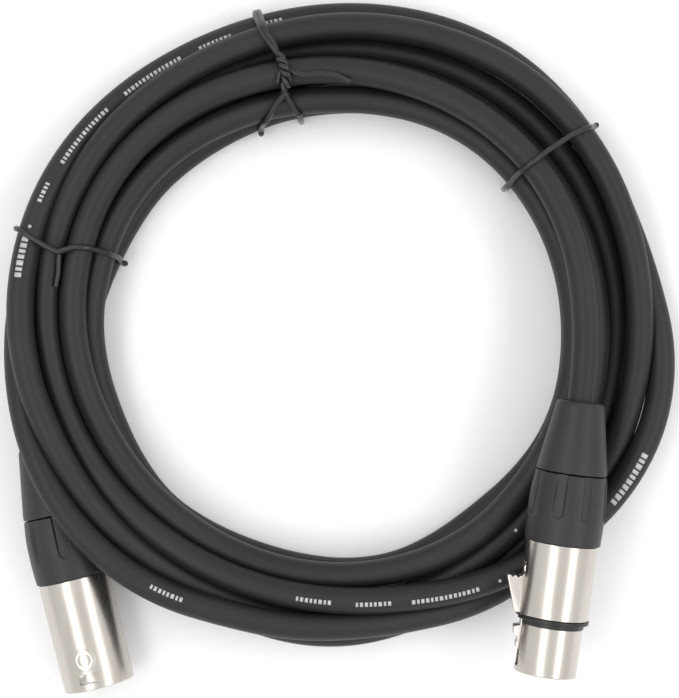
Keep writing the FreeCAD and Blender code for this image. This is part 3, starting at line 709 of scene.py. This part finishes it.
def gland_and_collar(kind, place, shell_start, first_flute):
    spigot_end, bore = 21.0, CABLE_RADIUS + 0.1
    gland = lathe(f"{kind}_gland_body", divided(rounded([
        (0.0, bore, 0.25), (0.0, 6.0, 1.3), (16.6, 8.85, 0.8), (18.1, 9.0, 0.35), (18.1, 4.6, 0),
        (spigot_end, 4.6, 0.2), (spigot_end, bore, 0.1)], 7), 1.5), BOOT, place)
    keep(gland, nodes=(f"{kind}_gland",))
    front = shell_start - 0.1
    outline = divided(rounded([
        (COLLAR_START, 4.65, 0), (COLLAR_START, 9.0, 0.3), (24.0, 9.82, 3.0), (30.0, 9.83, 3.0),
        (front, 9.62, 0.3), (front, 8.2, 0.1), (21.2, 8.2, 0), (21.2, 4.65, 0)]), 0.3)
    collar = lathe(f"{kind}_collar_body", outline, BOOT, place, 480, flute_relief(first_flute))
    keep(collar, nodes=(f"{kind}_collar",))
    return gland, collar


gland_and_collar("male", MALE, MALE_SHELL_START, math.radians(-11))
female_gland, female_collar = gland_and_collar("female", FEMALE, FEMALE_SHELL_START, math.radians(19))


# ---------------------------------------------------------------- shells

MALE_SHELL_RADIUS = 9.15


def male_shell():
    shell = lathe("male_shell_body", divided(rounded([
        (22.4, 6.9, 0), (22.4, 8.1, 0.2), (MALE_SHELL_START, 8.1, 0),
        (MALE_SHELL_START, MALE_SHELL_RADIUS, 0.25), (MALE_LENGTH, MALE_SHELL_RADIUS, 0.3),
        (MALE_LENGTH, 8.05, 0.25), (41.4, 8.05, 0), (41.4, 6.9, 0)]), 4.0), SHELL, MALE, 160)
    cut_box(shell, MALE, (6.9, -2.6, MALE_LENGTH - 4.4), (11, 2.6, MALE_LENGTH - 1.8), 0.4)
    keep(shell, nodes=("male_shell",))
    keep(round_badge("male_shell_badge", MALE, 56.0, MALE_SHELL_RADIUS, 3.1))


def round_badge(name, place, along, shell_radius, radius, rings=24, spokes=64):
    """Plain raised disc with a shallow ring groove, lying on the shell's curve."""
    points, faces = [(shell_radius + 0.1, 0, along)], []
    reach = np.linspace(0, radius, rings + 1)[1:]
    height = (0.08 + 0.03 * np.exp(-((reach - radius * 0.78) / 0.3) ** 2)
              - 0.05 * np.exp(-((reach - radius * 0.55) / 0.3) ** 2))
    height[-1] = -0.15
    height[-2] = 0.04
    for distance, raised in zip(reach, height):
        for angle in np.linspace(0, 2 * math.pi, spokes, endpoint=False):
            sideways = distance * math.sin(angle) / shell_radius
            out = shell_radius + raised
            points.append((out * math.cos(sideways), out * math.sin(sideways),
                           along + distance * math.cos(angle)))
    for spoke in range(spokes):
        after = (spoke + 1) % spokes
        faces.append((0, 1 + spoke, 1 + after))
        for ring in range(rings - 1):
            inner, outer = 1 + ring * spokes, 1 + (ring + 1) * spokes
            faces.append((inner + spoke, outer + spoke, outer + after, inner + after))
    faces.append([1 + (rings - 1) * spokes + spoke for spoke in range(spokes)])
    return mesh_piece(name, points, faces, SHELL, place, 60)


SLOT_HALF, SLOT_FLOOR, SLOT_START, SLOT_END = 2.7, 5.4, 42.0, 68.4
STEP_START, NOSE_RADIUS = 55.1, 7.95


def female_shell():
    shell = lathe("female_shell_body", divided(rounded([
        (22.4, 6.9, 0), (22.4, 8.1, 0.2), (FEMALE_SHELL_START, 8.1, 0), (FEMALE_SHELL_START, 9.0, 0.3),
        (STEP_START, 9.0, 0.2), (STEP_START, NOSE_RADIUS, 0), (FEMALE_LENGTH, NOSE_RADIUS, 0.45),
        (FEMALE_LENGTH, 7.1, 0.2), (41.6, 7.1, 0), (41.6, 6.9, 0)]), 4.0), SHELL, FEMALE, 160)
    cut_box(shell, FEMALE, (SLOT_FLOOR, -SLOT_HALF, SLOT_START), (11.4, SLOT_HALF, SLOT_END), 0.3)
    keep(shell, nodes=("female_shell",))
    band = lathe("female_band_body", divided(rounded([
        (55.2, 7.98, 0), (55.2, 9.35, 0.2), (56.1, 9.35, 0.2), (56.2, 8.25, 0.1), (57.4, 8.2, 0.25),
        (57.4, 7.98, 0)]),
        2.0), RUBBER, FEMALE, 160)
    cut_box(band, FEMALE, (SLOT_FLOOR, -SLOT_HALF, 52), (11.4, SLOT_HALF, 62), 0.3)
    keep(band, nodes=("female_ring_band",))
    return [shell, band]


def arc(along, out, radius, first, last, steps=7):
    return [(along + radius * math.cos(math.radians(a)), out + radius * math.sin(math.radians(a)))
            for a in np.linspace(first, last, steps)]


LEVER_HALF = 2.3


def latch_lever():
    """Side outline of the push lever, with two finger notches in its rear edge, at full width."""
    outline = [*arc(43.6, 7.7, 1.25, 270, 60), (44.9, 8.5), (45.7, 9.2), *arc(45.7, 10.1, 0.45, -90, 90, 6),
               (45.7, 10.9), *arc(45.7, 11.5, 0.45, -90, 90, 6), (45.7, 12.5), (46.0, 12.85), (54.5, 10.05),
               (54.9, 9.7), (54.95, 8.2), (55.2, 8.0), (58.1, 8.0), (58.5, 9.5), (58.8, 9.6), (60.6, 9.3),
               (60.8, 9.0), (60.9, 8.4), (62.2, 8.3), (62.5, 8.5), (63.9, 8.4), (64.2, 8.1), (64.2, 7.35),
               (45.0, 7.35)]
    half, count = LEVER_HALF, len(outline)
    points = [(out, side, along) for side in (-half, half) for along, out in outline]
    faces = [list(range(count)), list(range(2 * count - 1, count - 1, -1))]
    faces += [(i, (i + 1) % count, count + (i + 1) % count, count + i) for i in range(count)]
    lever = mesh_piece("latch_lever_body", points, faces, LATCH, FEMALE)
    soften = lever.modifiers.new("edges", "BEVEL")
    soften.width = 0.18 * MM
    soften.segments = 2
    soften.limit_method = "ANGLE"
    soften.angle_limit = math.radians(50)
    apply_modifiers(lever)
    lever.data.set_sharp_from_angle(angle=math.radians(35))
    return keep(lever, "latch", ("latch_lever",))


SPRING_AT, SPRING_TURN_RADIUS, SPRING_WIRE_RADIUS = 50.0, 1.2, 0.2


def latch_spring():
    """Wire spring under the lever, standing on the carrier."""
    base, top, turns = 5.45 + 0.25, 7.1, 4
    points = []
    for t in np.linspace(0, 1, 12 * turns + 1):
        turn = 2 * math.pi * turns * t
        local = Vector((base + (top - base) * t, SPRING_TURN_RADIUS * math.sin(turn),
                        SPRING_AT + SPRING_TURN_RADIUS * math.cos(turn))) * MM
        points.append(np.array(FEMALE @ local) / MM)
    line = spline_piece("latch_spring_line", points, SPRING_WIRE_RADIUS, SPRING, bevel=2, smoothness=3)
    bpy.context.view_layer.update()
    mesh = bpy.data.meshes.new_from_object(line.evaluated_get(bpy.context.evaluated_depsgraph_get()))
    bpy.data.objects.remove(line)
    spring = bpy.data.objects.new("latch_spring_wire", mesh)
    bpy.context.scene.collection.objects.link(spring)
    keep(spring, nodes=("latch_spring",))
    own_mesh(spring)
    return spring


male_shell()
female_metal = female_shell()
lever = latch_lever()
spring = latch_spring()

KEPT_NODES = {
    "cable_jacket": (JACKET, ["male_cable_end", "female_cable_end"]),
    "collet_plastic": (COLLET, ["male_collet", "female_collet"]),
    "braid_copper": (BRAID, ["male_braid_end", "female_braid_end"]),
    "core_insulation": (CORE, ["male_conductors", "female_conductors"]),
    "carrier_plastic": (CARRIER, ["male_carrier", "female_carrier"]),
    "contact_plating": (CONTACT, [f"{kind}_contact_{n}" for kind in ("male", "female") for n in (1, 2, 3)]),
    "latch_metal": (LATCH, ["latch_pin"]),
    "spring_steel": (SPRING, ["male_ground_tab", "female_ground_ring"]),
}
for finish, names in KEPT_NODES.values():
    for name in names:
        NODES[name].data.materials.clear()
        NODES[name].data.materials.append(finish)

far_pieces = [female_gland, female_collar, *female_metal, lever, spring]
far_pieces += [name for name in sorted(NODES) if name.startswith("female_") and not NODES[name].hide_render]
far_pieces.append("latch_pin")


# ---------------------------------------------------------------- floor, light and camera

def floor_piece():
    half = 1.6
    mesh = bpy.data.meshes.new("floor")
    corners = [(-half, -half, 0), (half, -half, 0), (half, half, 0), (-half, half, 0)]
    mesh.from_pydata(corners, [], [(0, 1, 2, 3)])
    pale = finish_of("floor", (0.90, 0.90, 0.90), (0.92, 0.92, 0.92), 0.8, 300, 0.02, specular=0.1)
    mesh.materials.append(pale)
    floor = bpy.data.objects.new("floor", mesh)
    bpy.context.scene.collection.objects.link(floor)


def softbox(name, place, width, depth, power):
    light = bpy.data.lights.new(name, "AREA")
    light.shape = "RECTANGLE"
    light.size, light.size_y = width, depth
    light.energy = power
    lamp = bpy.data.objects.new(name, light)
    lamp.location = place
    lamp.rotation_euler = (Vector((0, 0, 0)) - Vector(place)).to_track_quat("-Z", "Y").to_euler()
    bpy.context.scene.collection.objects.link(lamp)


floor_piece()
softbox("softbox_left", (-0.45, -0.05, 0.95), 1.4, 0.34, 3.9)
softbox("softbox_right", (0.75, -0.05, 0.95), 1.4, 0.34, 4.3)

world = bpy.data.worlds.new("room")
world.use_nodes = True
world.node_tree.nodes["Background"].inputs["Color"].default_value = (1.0, 1.0, 1.0, 1)
world.node_tree.nodes["Background"].inputs["Strength"].default_value = 0.95
bpy.context.scene.world = world
bpy.context.scene.view_settings.view_transform = "Standard"

CAMERA_HEIGHT = 0.560
camera_data = bpy.data.cameras.new("camera")
camera_data.sensor_width = 36.0
camera_data.lens = 109.2
camera_data.clip_start = 0.01
camera = bpy.data.objects.new("camera", camera_data)
camera.location = (0.00035, -0.0004, CAMERA_HEIGHT)
bpy.context.scene.collection.objects.link(camera)
bpy.context.scene.camera = camera
